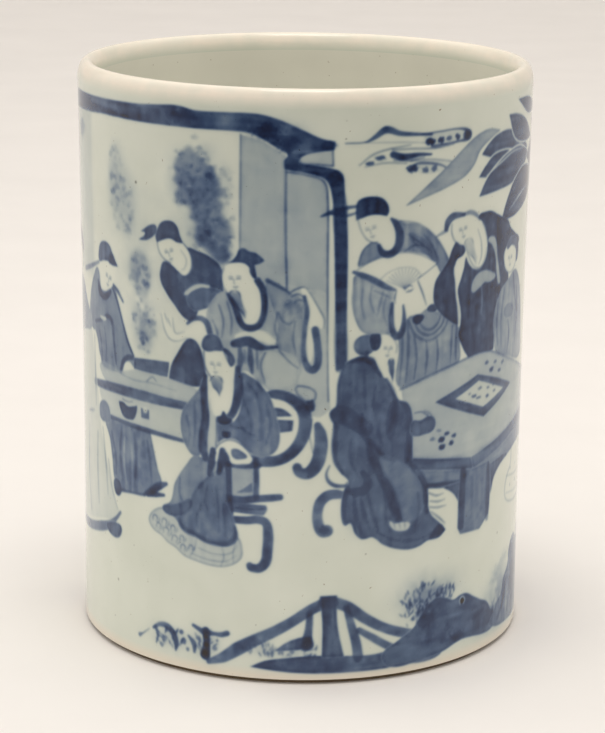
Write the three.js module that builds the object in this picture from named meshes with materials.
// A cylindrical porcelain brush pot: a turned wall on a flat base plate and a low foot ring,
// under a clear glaze that was laid on in separate coats. Millimetres, +Z up, with the origin
// in the middle of the foot's resting plane.
import * as THREE from 'three';

// Driving dimensions
const HEIGHT = 155; // resting plane to the crest of the lip
const FOOT_RADIUS = 60.25; // glazed outside, at the foot
const WAIST_RADIUS = 60.15; // glazed outside, half way up
const TOP_RADIUS = 60.9; // glazed outside, at the lip
const LIP_WIDTH = 4.8; // across the rounded lip, glaze included
const LIP_HEIGHT = 4.8; // height of the rounding
const FLOOR_INNER_RADIUS = 54.6; // glazed inside, at the floor
const FLOOR_HEIGHT = 9.4; // resting plane to the glazed floor inside
const GLAZE = 0.4; // thickness of every coat of glaze

// Foot: a low ring left bare of glaze, with both edges bevelled
const FOOT_HEIGHT = 4;
const FOOT_WIDTH = 7.3;
const FOOT_BEVEL = 1;
const FOOT_BEVEL_HEIGHT = 1.3;
const FOOT_INNER_BEVEL = 0.5;

// Where glaze has pooled in the corner between floor and wall
const POOL_RADIUS = 1.8;

// Fineness of the facets
const SEGMENTS = 64; // round the pot
const LIP_STEPS = 6; // over the lip, from outside to inside
const POOL_STEPS = 3;
const WALL_LEVELS = 5; // bands up the slightly waisted outside

const LIP_START = HEIGHT - LIP_HEIGHT;
const BODY_BOTTOM = FOOT_HEIGHT;
const PLATE_TOP = FLOOR_HEIGHT - GLAZE;
const LIP_MIDDLE = TOP_RADIUS - LIP_WIDTH / 2;
const LIP_INNER_RADIUS = TOP_RADIUS - LIP_WIDTH;

// Radius of the glazed outside at height z: one shallow curve through foot, waist and top.
function outsideRadius(z) {
  const t = z / LIP_START;
  return FOOT_RADIUS * (1 - t) * (1 - 2 * t) + WAIST_RADIUS * 4 * t * (1 - t)
    + TOP_RADIUS * t * (2 * t - 1);
}

// Radius of the glazed inside at height z: a straight, slight taper from floor to lip.
function insideRadius(z) {
  const t = (z - FLOOR_HEIGHT) / (LIP_START - FLOOR_HEIGHT);
  return FLOOR_INNER_RADIUS + t * (LIP_INNER_RADIUS - FLOOR_INNER_RADIUS);
}

// Points up the outside between two heights, set inwards by depth.
function outsideLine(low, high, depth) {
  const points = [];
  for (let i = 0; i <= WALL_LEVELS; i += 1) {
    const z = low + (high - low) * i / WALL_LEVELS;
    points.push([outsideRadius(z) - depth, z]);
  }
  return points;
}

// The half-elliptical lip from outside to inside, set inwards by depth.
function lipLine(depth) {
  const points = [];
  for (let i = 0; i <= LIP_STEPS; i += 1) {
    const a = Math.PI * i / LIP_STEPS;
    points.push([
      LIP_MIDDLE + (LIP_WIDTH / 2 - depth) * Math.cos(a),
      LIP_START + (LIP_HEIGHT - depth) * Math.sin(a),
    ]);
  }
  return points;
}

// The hollow curve of the pooled glaze, from the wall down to the floor.
function poolLine() {
  const top = FLOOR_HEIGHT + POOL_RADIUS;
  const wall = insideRadius(top);
  const points = [];
  for (let i = 0; i <= POOL_STEPS; i += 1) {
    const a = Math.PI / 2 * i / POOL_STEPS;
    points.push([
      wall - POOL_RADIUS * (1 - Math.cos(a)),
      top - POOL_RADIUS * Math.sin(a),
    ]);
  }
  return points;
}

// One turned piece: the outline of its section, anticlockwise, spun round the Z axis.
function turned(name, outline, material) {
  const first = outline[0];
  const onAxis = first[0] === 0;
  const closed = onAxis ? outline : [...outline, first];
  const points = closed.map(([r, z]) => new THREE.Vector2(r, z));
  const geometry = new THREE.LatheGeometry(points, SEGMENTS);
  geometry.rotateX(Math.PI / 2);
  const mesh = new THREE.Mesh(geometry, material);
  mesh.name = name;
  return mesh;
}

function ceramic(color, roughness) {
  return new THREE.MeshStandardMaterial({ color, roughness, metalness: 0 });
}

const bareClay = () => ceramic(0xd8cdb9, 0.8);
const paintedGlaze = () => ceramic(0x9fabb0, 0.12);
const clearGlaze = () => ceramic(0xc9c8b8, 0.12);

// Clay pieces

function footRing() {
  const outer = outsideRadius(BODY_BOTTOM) - GLAZE;
  const inner = FOOT_RADIUS - GLAZE - FOOT_WIDTH;
  return turned('foot_ring', [
    [inner + FOOT_INNER_BEVEL, 0],
    [outer - FOOT_BEVEL, 0],
    [outer, FOOT_BEVEL_HEIGHT],
    [outer, FOOT_HEIGHT],
    [inner, FOOT_HEIGHT],
    [inner, FOOT_INNER_BEVEL],
  ], bareClay());
}

function basePlate() {
  const edge = FLOOR_INNER_RADIUS + GLAZE;
  return turned('base_plate', [
    [0, BODY_BOTTOM],
    [edge, BODY_BOTTOM],
    [edge, PLATE_TOP],
    [0, PLATE_TOP],
  ], bareClay());
}

function wall() {
  const edge = FLOOR_INNER_RADIUS + GLAZE;
  return turned('turned_wall', [
    ...outsideLine(BODY_BOTTOM, LIP_START, GLAZE),
    ...lipLine(GLAZE).slice(1),
    [edge, PLATE_TOP],
    [edge, BODY_BOTTOM],
  ], bareClay());
}

// Coats of glaze

// The painted coat outside. It runs down over the foot ring and stops at its bevel.
function outerGlaze() {
  const ring = outsideRadius(BODY_BOTTOM) - GLAZE;
  return turned('outer_glaze', [
    [ring, FOOT_BEVEL_HEIGHT],
    [ring + GLAZE, FOOT_BEVEL_HEIGHT],
    ...outsideLine(BODY_BOTTOM, LIP_START, 0),
    ...outsideLine(BODY_BOTTOM, LIP_START, GLAZE).reverse(),
  ], paintedGlaze());
}

function lipGlaze() {
  return turned('lip_glaze', [
    ...lipLine(0),
    ...lipLine(GLAZE).reverse(),
  ], clearGlaze());
}

function innerGlaze() {
  const low = FLOOR_HEIGHT + POOL_RADIUS;
  return turned('inner_glaze', [
    [insideRadius(low), low],
    [clayInside(low), low],
    [LIP_INNER_RADIUS + GLAZE, LIP_START],
    [LIP_INNER_RADIUS, LIP_START],
  ], clearGlaze());
}

// Radius of the clay wall's own inside face, a straight line from the plate to the lip.
function clayInside(z) {
  const edge = FLOOR_INNER_RADIUS + GLAZE;
  const t = (z - PLATE_TOP) / (LIP_START - PLATE_TOP);
  return edge + t * (LIP_INNER_RADIUS + GLAZE - edge);
}

function floorGlaze() {
  const top = FLOOR_HEIGHT + POOL_RADIUS;
  return turned('floor_glaze', [
    [0, PLATE_TOP],
    [FLOOR_INNER_RADIUS + GLAZE, PLATE_TOP],
    [clayInside(top), top],
    ...poolLine(),
    [0, FLOOR_HEIGHT],
  ], clearGlaze());
}

function undersideGlaze() {
  const edge = FOOT_RADIUS - GLAZE - FOOT_WIDTH;
  return turned('underside_glaze', [
    [0, BODY_BOTTOM - GLAZE],
    [edge, BODY_BOTTOM - GLAZE],
    [edge, BODY_BOTTOM],
    [0, BODY_BOTTOM],
  ], clearGlaze());
}

const brushPot = new THREE.Group();
brushPot.add(
  footRing(),
  basePlate(),
  wall(),
  outerGlaze(),
  lipGlaze(),
  innerGlaze(),
  floorGlaze(),
  undersideGlaze(),
);

export default brushPot;
